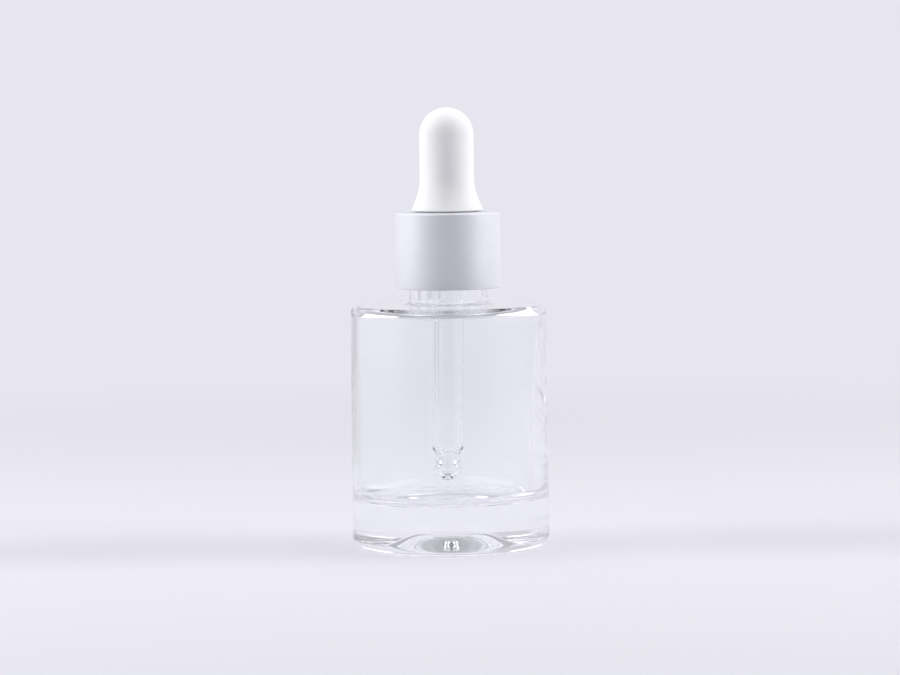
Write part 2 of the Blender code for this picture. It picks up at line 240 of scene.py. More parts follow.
def thread_tree():
    """Raises a helical ridge, rounded and fading out at both ends, on the points at one wall radius."""
    section = ("Wall Radius", "Ridge Height", "Base Width", "Crest Width")
    course = ("Pitch", "Turns", "Top", "Start Turn", "Fade Turns")
    tree, given = shape_tree("moulded_thread", (*section, *course))
    flat, radius, turn, height = around_axis(tree)
    on_wall = calc(tree, "COMPARE", radius, given["Wall Radius"], touching)
    positive = calc(tree, "ADD", turn, 4.0)  # whole turns change nothing
    first = calc(tree, "FRACT", calc(tree, "SUBTRACT", positive, given["Start Turn"]))
    below_top = calc(tree, "SUBTRACT", given["Top"], height)
    here = calc(tree, "SUBTRACT", given["Turns"], calc(tree, "DIVIDE", below_top, given["Pitch"]))
    nearest = calc(tree, "ADD", first, calc(tree, "ROUND", calc(tree, "SUBTRACT", here, first)))
    away = calc(tree, "ABSOLUTE", calc(tree, "SUBTRACT", here, nearest))
    away = calc(tree, "MULTIPLY", away, given["Pitch"])
    base = calc(tree, "MULTIPLY", given["Base Width"], 0.5)
    crest = calc(tree, "MULTIPLY", given["Crest Width"], 0.5)
    ridge = ramp(tree, away, base, crest)
    to_end = calc(tree, "MINIMUM", nearest, calc(tree, "SUBTRACT", given["Turns"], nearest))
    fade = ramp(tree, to_end, 0.0, given["Fade Turns"])
    rise = calc(tree, "MULTIPLY", calc(tree, "MULTIPLY", ridge, fade), given["Ridge Height"])
    share = calc(tree, "DIVIDE", calc(tree, "MULTIPLY", rise, on_wall), radius)
    push = add_node(tree, "ShaderNodeVectorMath", {0: flat, "Scale": share}, operation="SCALE").outputs[0]
    inputs = {"Geometry": given["Geometry"], "Offset": push}
    moved = add_node(tree, "GeometryNodeSetPosition", inputs).outputs[0]
    return end_tree(tree, moved, given)


def stipple_tree():
    """Cuts a flat ring back between small bars, which are left to stand on."""
    sizes = ("Count", "Bar Height", "Inner Radius", "Outer Radius", "Edge")
    tree, given = shape_tree("stippled_ring", sizes)
    _, radius, turn, height = around_axis(tree)
    on_ring = calc(tree, "LESS_THAN", height, touching)
    inside = ramp(tree, calc(tree, "SUBTRACT", radius, given["Inner Radius"]), 0.0, given["Edge"])
    outside = ramp(tree, calc(tree, "SUBTRACT", given["Outer Radius"], radius), 0.0, given["Edge"])
    count = calc(tree, "MULTIPLY", turn, given["Count"])
    wave = calc(tree, "COSINE", calc(tree, "MULTIPLY", count, math.tau))
    bar = ramp(tree, wave, -0.4, 0.9)
    cut = calc(tree, "MULTIPLY", calc(tree, "SUBTRACT", 1.0, bar), calc(tree, "MULTIPLY", inside, outside))
    rise = calc(tree, "MULTIPLY", calc(tree, "MULTIPLY", cut, on_ring), given["Bar Height"])
    push = add_node(tree, "ShaderNodeCombineXYZ", {2: rise}).outputs[0]
    inputs = {"Geometry": given["Geometry"], "Offset": push}
    moved = add_node(tree, "GeometryNodeSetPosition", inputs).outputs[0]
    return end_tree(tree, moved, given)


def run_trees(piece, *steps):
    """Runs Geometry Nodes trees on a piece, each with its sizes, and keeps the result as its plain mesh."""
    for tree, sizes in steps:
        modifier = piece.modifiers.new(tree.name, "NODES")
        modifier.node_group = tree
        for item in tree.interface.items_tree:
            if item.in_out == "INPUT" and item.name in sizes:
                modifier[item.identifier] = sizes[item.name]
    evaluated = piece.evaluated_get(bpy.context.evaluated_depsgraph_get())
    mesh = bpy.data.meshes.new_from_object(evaluated)
    piece.modifiers.clear()
    mesh.name = piece.name
    piece.data = mesh
    mesh.shade_smooth()


def shader_group(name, sizes, results):
    """A shader node group with named number inputs and named results."""
    tree = bpy.data.node_groups.new(name, "ShaderNodeTree")
    for size, value in sizes.items():
        tree.interface.new_socket(size, in_out="INPUT", socket_type="NodeSocketFloat").default_value = value
    for result, kind in results.items():
        tree.interface.new_socket(result, in_out="OUTPUT", socket_type="NodeSocket" + kind)
    return tree, tree.nodes.new("NodeGroupInput").outputs, tree.nodes.new("NodeGroupOutput").inputs


def glass_skin_group():
    """What hot glass keeps from its mould: slow waves, and a polish that varies a little."""
    sizes = {"Wave Size": 0.012, "Polish Size": 0.004, "Roughness Low": 0.0, "Roughness High": 0.01}
    tree, given, result = shader_group("glass_skin", sizes, {"Roughness": "Float", "Height": "Float"})
    place = add_node(tree, "ShaderNodeTexCoord").outputs["Object"]
    slow = calc(tree, "DIVIDE", 1.0, given["Wave Size"])
    waves = add_node(tree, "ShaderNodeTexNoise", {"Vector": place, "Scale": slow, "Detail": 1.0})
    quick = calc(tree, "DIVIDE", 1.0, given["Polish Size"])
    polish = add_node(tree, "ShaderNodeTexNoise", {"Vector": place, "Scale": quick, "Detail": 3.0})
    rough = ramp(tree, polish.outputs[0], 0.35, 0.75, given["Roughness Low"], given["Roughness High"])
    tree.links.new(rough, result["Roughness"])
    tree.links.new(waves.outputs[0], result["Height"])
    return tree


glass_skin = glass_skin_group()


def new_material(name, values):
    """A material with its shader's plain values set. Returns it, its node tree and its shader."""
    material = bpy.data.materials.new(name)
    material.use_nodes = True
    shader = material.node_tree.nodes["Principled BSDF"]
    for key, value in values.items():
        shader.inputs[key].default_value = value
    return material, material.node_tree, shader


def glass_material(name, ior, tint, sizes, wave_height):
    """Clear glass whose skin waves a little."""
    values = {"Base Color": tint, "Transmission Weight": 1.0, "IOR": ior, "Metallic": 0.0}
    material, tree, shader = new_material(name, values)
    skin = add_node(tree, "ShaderNodeGroup", node_tree=glass_skin)
    for key, value in sizes.items():
        skin.inputs[key].default_value = value
    bump = add_node(tree, "ShaderNodeBump", {"Height": skin.outputs["Height"], "Distance": wave_height})
    tree.links.new(skin.outputs["Roughness"], shader.inputs["Roughness"])
    tree.links.new(bump.outputs[0], shader.inputs["Normal"])
    return material


def slope_foot(corner, corner_round, wall_radius, foot_round):
    """The middle of the rounding where the slope that comes up from a corner meets the neck's wall."""
    slope = math.radians(shoulder_slope)
    start = (corner[0] + corner_round * math.sin(slope), corner[1] + corner_round * math.cos(slope))
    end = wall_radius + foot_round * (1 - math.sin(slope))
    climb = (start[0] - end) * math.tan(slope)
    return wall_radius + foot_round, start[1] + climb + foot_round * math.cos(slope)


def bottle_profile():
    """The bottle's section, from the hollow's floor, out of the mouth and down to the underside.

    Returns it with the number of rows that belong to the hollow and the range of those on the ring.
    """
    body_top_radius = body_radius - body_draft
    floor_corner = (cavity_radius_low - floor_round, floor_height + floor_round)
    ceiling_corner = (cavity_radius_high - ceiling_round, ceiling_height - ceiling_round)
    bore_corner = slope_foot(ceiling_corner, ceiling_round, bore_radius, bore_round)
    shoulder_corner = (body_top_radius - shoulder_round, rim_height - shoulder_round)
    heel_corner = (body_radius - heel_round, heel_round)
    profile = [(0.0, floor_height + floor_dish)]
    for step in range(1, 8):
        share = step / 8
        dish = floor_dish * math.cos(share * math.pi / 2) ** 2
        profile.append((floor_corner[0] * share, floor_height + dish))
    profile += round_arc(floor_corner, floor_round, -90, 0, 10)
    profile += straight(profile[-1], (cavity_radius_high, ceiling_corner[1]), 24)
    profile += round_arc(ceiling_corner, ceiling_round, 0, 90 - shoulder_slope, 10)
    bore_foot = round_arc(bore_corner, bore_round, -90 - shoulder_slope, -180)
    profile += straight(profile[-1], bore_foot[0], 8)
    profile += bore_foot
    cavity_rows = len(profile)
    profile += straight(profile[-1], (bore_radius, lip_height - lip_round), 3)
    profile += round_arc((bore_radius + lip_round, lip_height - lip_round), lip_round, 180, 90, 6)
    profile += round_arc((neck_radius - lip_round, lip_height - lip_round), lip_round, 90, 0, 6)
    neck_foot = slope_foot(shoulder_corner, shoulder_round, neck_radius, neck_fillet)
    thread_low = thread_top - (thread_turns + thread_margin) * thread_pitch
    profile += straight(profile[-1], (neck_radius, thread_low), thread_rows)
    profile += straight((neck_radius, thread_low), (neck_radius, neck_foot[1]), 3)
    profile += round_arc(neck_foot, neck_fillet, 180, 270 - shoulder_slope)
    rim = round_arc(shoulder_corner, shoulder_round, 90 - shoulder_slope, 0, 12)
    profile += straight(profile[-1], rim[0], 8)
    profile += rim
    profile += straight(profile[-1], (body_radius, heel_corner[1]), 14)
    profile += round_arc(heel_corner, heel_round, 0, -90, 12)
    ring_rows = len(profile)
    profile += straight((heel_corner[0], 0.0), (ring_inner_radius + ring_corner, 0.0), 12)
    ring_rows = range(ring_rows, len(profile))
    profile.append((ring_inner_radius + ring_corner, 0.0))
    profile.append((ring_inner_radius, ring_rise))
    profile += straight(profile[-1], (push_up_foot_radius, ring_rise), 4)
    for step in range(17):
        share = step / 16
        radius = push_up_foot_radius + (push_up_top_radius - push_up_foot_radius) * share
        rise = (push_up_height - ring_rise) * (1 - math.cos(math.pi * share)) / 2
        profile.append((radius, ring_rise + rise))
    profile += straight(profile[-1], (0.0, push_up_height), 4)
    profile.append((0.0, push_up_height))
    return profile, cavity_rows, ring_rows


def lean_cavity(mesh, vertices):
    """Moves the hollow off the axis, most at its floor, and gives one side of its wall slow waves."""
    for vertex in mesh.vertices[:vertices]:
        share = (vertex.co.z - floor_height) / (ceiling_height - floor_height)
        share = min(max(share, 0.0), 1.0)
        out = min(math.hypot(vertex.co.x, vertex.co.y) / cavity_radius_low, 1.0)
        angle = math.atan2(vertex.co.y, vertex.co.x)
        wave = cavity_wave * math.sin(cavity_wave_turn * share + cavity_wave_start)
        wave *= max(0.0, -math.cos(angle))
        shift = cavity_shift_low + (cavity_shift_high - cavity_shift_low) * share
        shift *= min(1.0, 3 * out)  # the middle of the floor stays
        settle = 1.0 - max(0.0, min(1.0, (vertex.co.z - settle_start) / settle_height))
        vertex.co.x += (shift + wave * out * math.cos(angle)) * settle
        vertex.co.y += wave * out * math.sin(angle) * settle


bottle_glass = glass_material(
    "bottle_glass", 1.52, (0.985, 0.992, 0.992, 1.0),
    {"Wave Size": 0.014, "Roughness High": 0.012}, 0.00001,
)
profile, cavity_rows, ring_rows = bottle_profile()
bottle = turned_piece("bottle_glass", profile, bottle_segments, False, ring_rows, ring_segments)
cavity_vertices = 1 + (cavity_rows - 1) * bottle_segments  # the first row is a single point
lean_cavity(bottle.data, cavity_vertices)
moulded_thread = thread_tree()
run_trees(
    bottle,
    (moulded_thread, {
        "Wall Radius": neck_radius, "Ridge Height": 0.0010, "Base Width": 0.0014, "Crest Width": 0.0003,
        "Pitch": thread_pitch, "Turns": thread_turns, "Top": thread_top,
        "Start Turn": 0.0, "Fade Turns": 0.12, "Material": bottle_glass,
    }),
    (stipple_tree(), {
        "Count": 144, "Bar Height": 0.00025, "Inner Radius": ring_inner_radius + ring_corner,
        "Outer Radius": body_radius - heel_round, "Edge": 0.0005, "Material": bottle_glass,
    }),
)
bottle.visible_shadow = False
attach(bottle, "bottle")
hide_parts("bottle")


# ------------------------------------------------------------------------------------------------
# Neck wiper: a soft natural polyethylene ring pressed into the neck. Two beads hold it in the bore
# and a thin edge at its foot wipes the pipette as it is drawn out.
# ------------------------------------------------------------------------------------------------

wiper_low, wiper_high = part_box("neck_wiper")
wiper_radius = 0.0042
wiper_bore = 0.0037
wiper_edge_radius = 0.0034
wiper_rim_radius = wiper_high[0]
wiper_rim_bevel = 0.0001
wiper_rim_height = 0.0006
wiper_bead = 0.00018
wiper_bead_places = (0.0024, 0.0046)  # below the top
wiper_foot_bevel = 0.0004
wiper_edge_round = 0.00015
wiper_edge_flat = 0.00005
wiper_edge_height = 0.0006
wiper_cone_height = 0.0014
wiper_mouth_bevel = (0.0002, 0.0003)
painted_plastic_glow = (0.80, 0.79, 0.86, 1.0)  # painted glow, in place of the light that comes through thin white plastic


def moulded_skin_group():
    """What a moulded surface keeps from its tool: fine grain, slow sink marks and an uneven colour."""
    sizes = {"Grain Size": 0.00012, "Sink Size": 0.006, "Mottle": 0.03}
    sizes.update({"Roughness": 0.5, "Roughness Spread": 0.08, "Red": 0.8, "Green": 0.8, "Blue": 0.8})
    results = {"Color": "Color", "Roughness": "Float", "Height": "Float"}
    tree, given, result = shader_group("moulded_skin", sizes, results)
    place = add_node(tree, "ShaderNodeTexCoord").outputs["Object"]
    fine = calc(tree, "DIVIDE", 1.0, given["Grain Size"])
    grain = add_node(tree, "ShaderNodeTexNoise", {"Vector": place, "Scale": fine, "Detail": 2.0}).outputs[0]
    slow = calc(tree, "DIVIDE", 1.0, given["Sink Size"])
    sink = add_node(tree, "ShaderNodeTexNoise", {"Vector": place, "Scale": slow, "Detail": 2.0}).outputs[0]
    darker = calc(tree, "MULTIPLY", ramp(tree, sink, 0.3, 0.7, smooth=False), given["Mottle"])
    light = calc(tree, "SUBTRACT", 1.0, darker)
    channels = [calc(tree, "MULTIPLY", given[channel], light) for channel in ("Red", "Green", "Blue")]
    color = add_node(tree, "ShaderNodeCombineColor", dict(enumerate(channels))).outputs[0]
    spread = calc(tree, "MULTIPLY", calc(tree, "SUBTRACT", sink, 0.5), given["Roughness Spread"])
    tree.links.new(color, result["Color"])
    tree.links.new(calc(tree, "ADD", given["Roughness"], spread, clamp=True), result["Roughness"])
    tree.links.new(grain, result["Height"])
    return tree


moulded_skin = moulded_skin_group()


def moulded_material(name, sizes, grain_height, values):
    """A moulded plastic or rubber."""
    material, tree, shader = new_material(name, values)
    skin = add_node(tree, "ShaderNodeGroup", node_tree=moulded_skin)
    for key, value in sizes.items():
        skin.inputs[key].default_value = value
    bump = add_node(tree, "ShaderNodeBump", {"Height": skin.outputs["Height"], "Distance": grain_height})
    tree.links.new(skin.outputs["Color"], shader.inputs["Base Color"])
    tree.links.new(skin.outputs["Roughness"], shader.inputs["Roughness"])
    tree.links.new(bump.outputs[0], shader.inputs["Normal"])
    return material


def finish_piece(piece, material, sharp=35.0):
    """Gives a piece its material and keeps its real corners crisp."""
    piece.data.materials.append(material)
    piece.data.set_sharp_from_angle(angle=math.radians(sharp))


def bead(radius, middle, height):
    """A half-round bead on an outer wall that runs down."""
    return round_arc((radius, middle), height, 90, -90, 6)


wiper_plastic = moulded_material(
    "wiper_polyethylene",
    {"Red": 0.86, "Green": 0.87, "Blue": 0.87, "Grain Size": 0.00015, "Roughness": 0.42},
    0.000004,
    {"Subsurface Weight": 0.3, "Subsurface Radius": (0.001, 0.001, 0.001), "Subsurface Scale": 1.0,
     # Painted glow: the wiper emits light in place of the light that comes through its thin plastic.
     "Emission Color": painted_plastic_glow, "Emission Strength": 0.3},
)
profile = [(wiper_rim_radius - wiper_rim_bevel, wiper_high[2])]
profile += [(wiper_rim_radius, wiper_high[2] - wiper_rim_bevel)]
profile += [(wiper_radius, wiper_high[2] - wiper_rim_height)]
for below in wiper_bead_places:
    profile += bead(wiper_radius, wiper_high[2] - below, wiper_bead)
profile += [(wiper_radius, wiper_low[2] + wiper_foot_bevel), (wiper_radius - wiper_foot_bevel, wiper_low[2])]
edge_middle = (wiper_edge_radius + wiper_edge_round, wiper_low[2] + wiper_edge_round)
profile += [(edge_middle[0] + wiper_edge_flat, wiper_low[2])]
profile += round_arc(edge_middle, wiper_edge_round, 270, 180, 3)
profile += [(wiper_edge_radius, wiper_low[2] + wiper_edge_height)]
profile += [(wiper_bore, wiper_low[2] + wiper_cone_height)]
profile += [(wiper_bore, wiper_high[2] - wiper_mouth_bevel[1])]
profile += [(wiper_bore + wiper_mouth_bevel[0], wiper_high[2])]
wiper = turned_piece("wiper_ring", profile, 128)
finish_piece(wiper, wiper_plastic)
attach(wiper, "bottle")
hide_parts("neck_wiper")


# ------------------------------------------------------------------------------------------------
# Seal gasket: a washer cut from soft foamed polyethylene sheet. It lies on the lip, which has
# pressed a shallow groove into its underside.
# ------------------------------------------------------------------------------------------------

gasket_low, gasket_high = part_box("seal_gasket")
gasket_radius = gasket_high[0]
gasket_hole = 0.0034
gasket_edge = 0.00012
lip_mark = 0.00008
lip_mark_radius = 0.0060
lip_mark_half_width = 0.0010

gasket_foam = moulded_material(
    "gasket_foam",
    {"Red": 0.82, "Green": 0.82, "Blue": 0.81, "Grain Size": 0.00035, "Roughness": 0.62, "Mottle": 0.05},
    0.00003,
    {"Subsurface Weight": 0.2, "Subsurface Radius": (0.001, 0.001, 0.001), "Subsurface Scale": 1.0,
     # Painted glow: the gasket emits light in place of the light that comes through its thin foam.
     "Emission Color": painted_plastic_glow, "Emission Strength": 0.3},
)
profile = [(gasket_hole, gasket_high[2])]
profile += round_arc((gasket_radius - gasket_edge, gasket_high[2] - gasket_edge), gasket_edge, 90, 0, 4)
profile += round_arc((gasket_radius - gasket_edge, gasket_low[2] + gasket_edge), gasket_edge, 0, -90, 4)
for step in range(9):
    angle = math.pi * step / 8
    out = lip_mark_half_width * math.cos(angle)
    profile.append((lip_mark_radius + out, gasket_low[2] + lip_mark * math.sin(angle)))
profile += [(gasket_hole, gasket_low[2])]
gasket = turned_piece("gasket_washer", profile, 128)
finish_piece(gasket, gasket_foam)
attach(gasket, "gasket")
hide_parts("seal_gasket")


# ------------------------------------------------------------------------------------------------
# Threaded collar: white polypropylene, moulded with the screw thread inside and then pushed into the
# sleeve. Its web holds the bulb's flange down on the gasket.
# ------------------------------------------------------------------------------------------------

collar_low, collar_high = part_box("threaded_collar")
inner_collar_radius = collar_high[0]
inner_collar_bore = 0.0091
inner_collar_web = 0.0009
collar_hole = 0.0056
collar_lead_in = 0.0003
collar_top_round = 0.0003
collar_foot_bevel = 0.0001
web_round = 0.0004

collar_plastic = moulded_material(
    "collar_polypropylene",
    {"Red": 0.84, "Green": 0.84, "Blue": 0.85, "Grain Size": 0.00018, "Roughness": 0.40},
    0.000004,
    {"Subsurface Weight": 0.15, "Subsurface Radius": (0.001, 0.001, 0.001), "Subsurface Scale": 1.0,
     # Painted glow: the collar emits light in place of the light that comes through its thin plastic.
     "Emission Color": painted_plastic_glow, "Emission Strength": 0.4},
)
web_bottom = collar_high[2] - inner_collar_web
profile = [(collar_hole, collar_high[2])]
top_corner = (inner_collar_radius - collar_top_round, collar_high[2] - collar_top_round)
profile += round_arc(top_corner, collar_top_round, 90, 0, 4)
profile += [(inner_collar_radius, collar_low[2] + collar_foot_bevel)]
profile += [(inner_collar_radius - collar_foot_bevel, collar_low[2])]
profile += [(inner_collar_bore + collar_lead_in, collar_low[2])]
profile += [(inner_collar_bore, collar_low[2] + collar_lead_in)]
profile += straight(profile[-1], (inner_collar_bore, web_bottom - web_round), 110)
profile += round_arc((inner_collar_bore - web_round, web_bottom - web_round), web_round, 0, 90, 4)
profile += [(collar_hole, web_bottom)]
inner_collar = turned_piece("threaded_insert", profile, 240)
run_trees(inner_collar, (moulded_thread, {
    "Wall Radius": inner_collar_bore, "Ridge Height": -0.0010, "Base Width": 0.0010, "Crest Width": 0.0003,
    "Pitch": thread_pitch, "Turns": thread_turns, "Top": thread_top, "Start Turn": 0.5, "Fade Turns": 0.08,
    "Material": collar_plastic,
}))
inner_collar.data.set_sharp_from_angle(angle=math.radians(40))
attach(inner_collar, "collar")
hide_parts("threaded_collar")


# ------------------------------------------------------------------------------------------------
# Collar sleeve: the smooth outer shell, drawn thin, with its edges rolled over and a satin white coat
# sprayed on. It is pressed over the threaded collar and turns with it.
# ------------------------------------------------------------------------------------------------

sleeve_low, sleeve_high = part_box("collar_sleeve")
sleeve_radius = sleeve_high[0]
sleeve_sheet = 0.0004
sleeve_edge = 0.00035
sleeve_foot_edge = 0.0002
sleeve_inner_round = 0.0002
sleeve_hole_bevel = 0.0001


def sprayed_material(name, color, roughness):
    """A satin coat with faint orange peel, a little thinner in colour where the spray was light."""
    material, tree, shader = new_material(name, {"Metallic": 0.35, "Specular IOR Level": 0.5})
    place = add_node(tree, "ShaderNodeTexCoord").outputs["Object"]
    peel = add_node(tree, "ShaderNodeTexNoise", {"Vector": place, "Scale": 2200.0, "Detail": 1.0}).outputs[0]
    cloud = add_node(tree, "ShaderNodeTexNoise", {"Vector": place, "Scale": 140.0, "Detail": 2.0}).outputs[0]
    thin = tuple(channel * 0.975 for channel in color)
    mix = {0: ramp(tree, cloud, 0.35, 0.65), 6: (*color, 1.0), 7: (*thin, 1.0)}
    coat = add_node(tree, "ShaderNodeMix", mix, data_type="RGBA").outputs[2]
    rough = ramp(tree, cloud, 0.3, 0.7, roughness - 0.02, roughness + 0.03)
    bump = add_node(tree, "ShaderNodeBump", {"Height": peel, "Distance": 0.000003}).outputs[0]
    tree.links.new(coat, shader.inputs["Base Color"])
    tree.links.new(rough, shader.inputs["Roughness"])
    tree.links.new(bump, shader.inputs["Normal"])
    return material


satin_white = sprayed_material("satin_white", (0.82, 0.83, 0.87), 0.38)
sheet_bottom = sleeve_high[2] - sleeve_sheet
foot = (sleeve_radius - sleeve_foot_edge, sleeve_low[2] + sleeve_foot_edge)
inner_corner = (sleeve_radius - sleeve_sheet - sleeve_inner_round, sheet_bottom - sleeve_inner_round)
profile = [(collar_hole, sleeve_high[2] - sleeve_hole_bevel)]
profile += [(collar_hole + sleeve_hole_bevel, sleeve_high[2])]
profile += round_arc((sleeve_radius - sleeve_edge, sleeve_high[2] - sleeve_edge), sleeve_edge, 90, 0, 8)
profile += round_arc(foot, sleeve_foot_edge, 0, -180, 8)
profile += round_arc(inner_corner, sleeve_inner_round, 0, 90, 4)
profile += [(collar_hole + sleeve_hole_bevel, sheet_bottom), (collar_hole, sheet_bottom + sleeve_hole_bevel)]
sleeve = turned_piece("sleeve_shell", profile, 256)
finish_piece(sleeve, satin_white)
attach(sleeve, "collar")
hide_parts("collar_sleeve")


# ------------------------------------------------------------------------------------------------
# Pipette: clear glass tube with a flanged top that sits in the bulb. Its lower end is drawn in to a
# neck and blown out again to a small ball with the opening, all fire polished.
# ------------------------------------------------------------------------------------------------

pipette_low, pipette_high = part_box("pipette")
tube_radius = 0.0031
tube_wall = 0.0009
tube_top_height = 0.0010
tube_top_radius = pipette_high[0]
tip_neck_radius = 0.0024
tip_neck_bore = 0.0013
tip_neck_length = 0.0019
tip_taper = 0.0010
tip_bore_taper = (0.0002, 0.0006)  # how far the bore's taper runs past the outer one, below and above
tip_ball_radius = 0.00284
tip_ball_half_height = 0.0023
tip_ball_wall = 0.0009
tip_opening = 0.0006
tip_end_radius = 0.0012
tube_mouth_round = 0.0003
tube_top_run = 0.0012
pipette_segments = 160


def oval_arc(center, radii, start, end, steps=10):
    """Points along an oval, between two angles in degrees."""
    points = []
    for step in range(steps + 1):
        angle = math.radians(start + (end - start) * step / steps)
        points.append((center[0] + radii[0] * math.cos(angle), center[1] + radii[1] * math.sin(angle)))
    return points


def angle_at(width, radius):
    """The angle in degrees at which an oval of this half width is this far from its axis."""
    return math.degrees(math.acos(radius / width))


def smooth_run(start, end, steps):
    """Points from one straight wall to another in a soft S."""
    points = []
    for step in range(steps + 1):
        share = step / steps
        bend = share * share * (3 - 2 * share)
        points.append((start[0] + (end[0] - start[0]) * bend, start[1] + (end[1] - start[1]) * share))
    return points


pipette_glass = glass_material(
    "pipette_glass", 1.47, (0.99, 0.995, 0.995, 1.0),
    {"Wave Size": 0.006, "Roughness High": 0.01}, 0.000003,
)
tube_bore = tube_radius - tube_wall
ball = (0.0, pipette_low[2] + tip_ball_half_height)
ball_start = angle_at(tip_ball_radius, tip_neck_radius)
neck_bottom = ball[1] + tip_ball_half_height * math.sin(math.radians(ball_start))
neck_top = neck_bottom + tip_neck_length
tube_end = neck_top + tip_taper
hollow = (tip_ball_radius - tip_ball_wall, tip_ball_half_height - tip_ball_wall)
end_angle = -angle_at(tip_ball_radius, tip_end_radius)
mouth = (tube_bore + tube_mouth_round, pipette_high[2] - tube_mouth_round)
flange_round = tube_top_height / 2
profile = round_arc(mouth, tube_mouth_round, 180, 90, 4)
rim_middle = (tube_top_radius - flange_round, pipette_high[2] - flange_round)
profile += round_arc(rim_middle, flange_round, 90, -90, 12)
profile += straight((tube_radius, pipette_high[2] - tube_top_run), (tube_radius, tube_end), 20)
profile += smooth_run((tube_radius, tube_end), (tip_neck_radius, neck_top), 10)
profile += straight((tip_neck_radius, neck_top), (tip_neck_radius, neck_bottom), 3)
profile += oval_arc(ball, (tip_ball_radius, tip_ball_half_height), ball_start, end_angle, 18)
profile += oval_arc(ball, hollow, -angle_at(hollow[0], tip_opening), angle_at(hollow[0], tip_neck_bore), 14)
bore_taper_low = (tip_neck_bore, neck_top - tip_bore_taper[0])
profile += smooth_run(bore_taper_low, (tube_bore, tube_end + tip_bore_taper[1]), 10)
profile += straight(profile[-1], (tube_bore, mouth[1]), 6)
pipette = turned_piece("pipette_tube", profile, pipette_segments)
finish_piece(pipette, pipette_glass, 60.0)
pipette.visible_shadow = False
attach(pipette, "dropper")
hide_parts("pipette")


# ------------------------------------------------------------------------------------------------
# Bulb: soft matt white silicone, moulded in one piece and stretched through the collar's hole. The
# flared skirt rests on the collar and the flange inside seals against the gasket.
# ------------------------------------------------------------------------------------------------

bulb_low, bulb_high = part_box("bulb")
bulb_radius = 0.00535
bulb_wall = 0.0013
skirt_radius = 0.0070
skirt_gap = 0.0003
skirt_bottom = sleeve_high[2] + skirt_gap
skirt_edge = 0.00025
flare_height = 0.0058
flare_bend = 1.7
groove_radius = 0.0053
flange_radius = bulb_high[0]
flange_thickness = 0.0009
flange_top = bulb_low[2] + flange_thickness
seat_gap = 0.0003
bulb_seat = pipette_high[2] - tube_top_height - seat_gap
pinch_bottom = 0.0725  # the skirt stays still below this height
pinch_full = 0.0790
pinch_at_top = 0.25  # the dome's top gives only this share of the way


def flare(start, end, steps=16):
    """The bulb's side where it opens out to the skirt: slow at first, then nearly straight."""
    points = []
    for step in range(steps + 1):
        share = step / steps
        spread = share**flare_bend
        points.append((start[0] + (end[0] - start[0]) * spread, start[1] + (end[1] - start[1]) * share))
    return points


silicone = moulded_material(
    "white_silicone",
    {"Red": 0.90, "Green": 0.90, "Blue": 0.905, "Grain Size": 0.00010, "Roughness": 0.52, "Mottle": 0.02},
    0.000004,
    {"Subsurface Weight": 0.35, "Subsurface Radius": (0.0015, 0.0014, 0.0014), "Subsurface Scale": 1.0,
     "Sheen Weight": 0.05},
)
dome = (0.0, bulb_high[2] - bulb_radius)
skirt_top = skirt_bottom + skirt_edge
profile = [(0.0, bulb_high[2])]
profile += round_arc(dome, bulb_radius, 90, 0, 24)[1:]
profile += straight(profile[-1], (bulb_radius, skirt_top + flare_height), 14)
profile += flare((bulb_radius, skirt_top + flare_height), (skirt_radius, skirt_top))
profile += round_arc((skirt_radius - skirt_edge, skirt_top), skirt_edge, 0, -90, 4)[1:]
profile += [(groove_radius, skirt_bottom), (groove_radius, flange_top)]
profile += [(flange_radius, flange_top), (flange_radius, bulb_low[2])]
profile += [(gasket_hole, bulb_low[2]), (gasket_hole, bulb_seat), (bulb_radius - bulb_wall, bulb_seat)]
profile += straight(profile[-1], (bulb_radius - bulb_wall, dome[1]), 14)
profile += round_arc(dome, bulb_radius - bulb_wall, 0, 90, 12)[:-1]
profile += [(0.0, dome[1] + bulb_radius - bulb_wall)]
bulb = turned_piece("squeeze_bulb", profile, 160, False)
finish_piece(bulb, silicone)
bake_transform(bulb, "dropper", "bulb", start=(0.0, 0.0, pinch_bottom), end=(0.0, 0.0, pinch_full))
# The squeeze moves along +X. Weights that go from 1 on the -X side to -1 on the +X side bring both sides
# of the bulb in to the middle.
weights = bulb.data.attributes["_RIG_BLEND"].data
for vertex in bulb.data.vertices:
    above = max(0.0, (vertex.co.z - pinch_full) / (bulb_high[2] - pinch_full))
    ease = 1.0 - (1.0 - pinch_at_top) * above * above * (3.0 - 2.0 * above)
    weights[vertex.index].value *= -vertex.co.x / bulb_radius * ease
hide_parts("bulb")


# ------------------------------------------------------------------------------------------------
# Studio: a wide pale table that fades into an even background, two large soft lights at the sides and
# a weaker one above. Glass and satin mirror a room that is dim in front and overhead.
# ------------------------------------------------------------------------------------------------

floor_radius = 3.0
floor_fade = (0.08, 0.40)  # the table turns into background between these distances
# Painted shade: a soft darker band across the paper under the bottle, its half width, skew and colour.
shade_band_half_width = 0.034
shade_band_skew = -0.04
paper = (0.695, 0.690, 0.738, 1.0)
painted_shade_color = (0.645, 0.640, 0.690, 1.0)
background = (0.800, 0.792, 0.868)
fill_level = 0.25  # brightness of the room for matt surfaces, against the background's

# Brightness of each side of the room against the background's. The spans are parts of a direction one
# unit long: away from the camera, to the right or up.
tent_front = 0.47
front_span = (-0.2, -0.9)
tent_back = 1.04
back_span = (0.90, 0.96)
tent_left = 0.78
left_heading = -0.48
left_span = (0.12, 0.26)
tent_roof = 0.55
roof_span = (0.28, 0.42)
tent_panel = 1.5
panel_inner_span = (0.42, 0.48)
panel_outer_span = (0.90, 0.84)
panel_low_span = (0.30, 0.36)
panel_high_span = (0.86, 0.80)
light_aim = Vector((0.0, 0.0, 0.05))


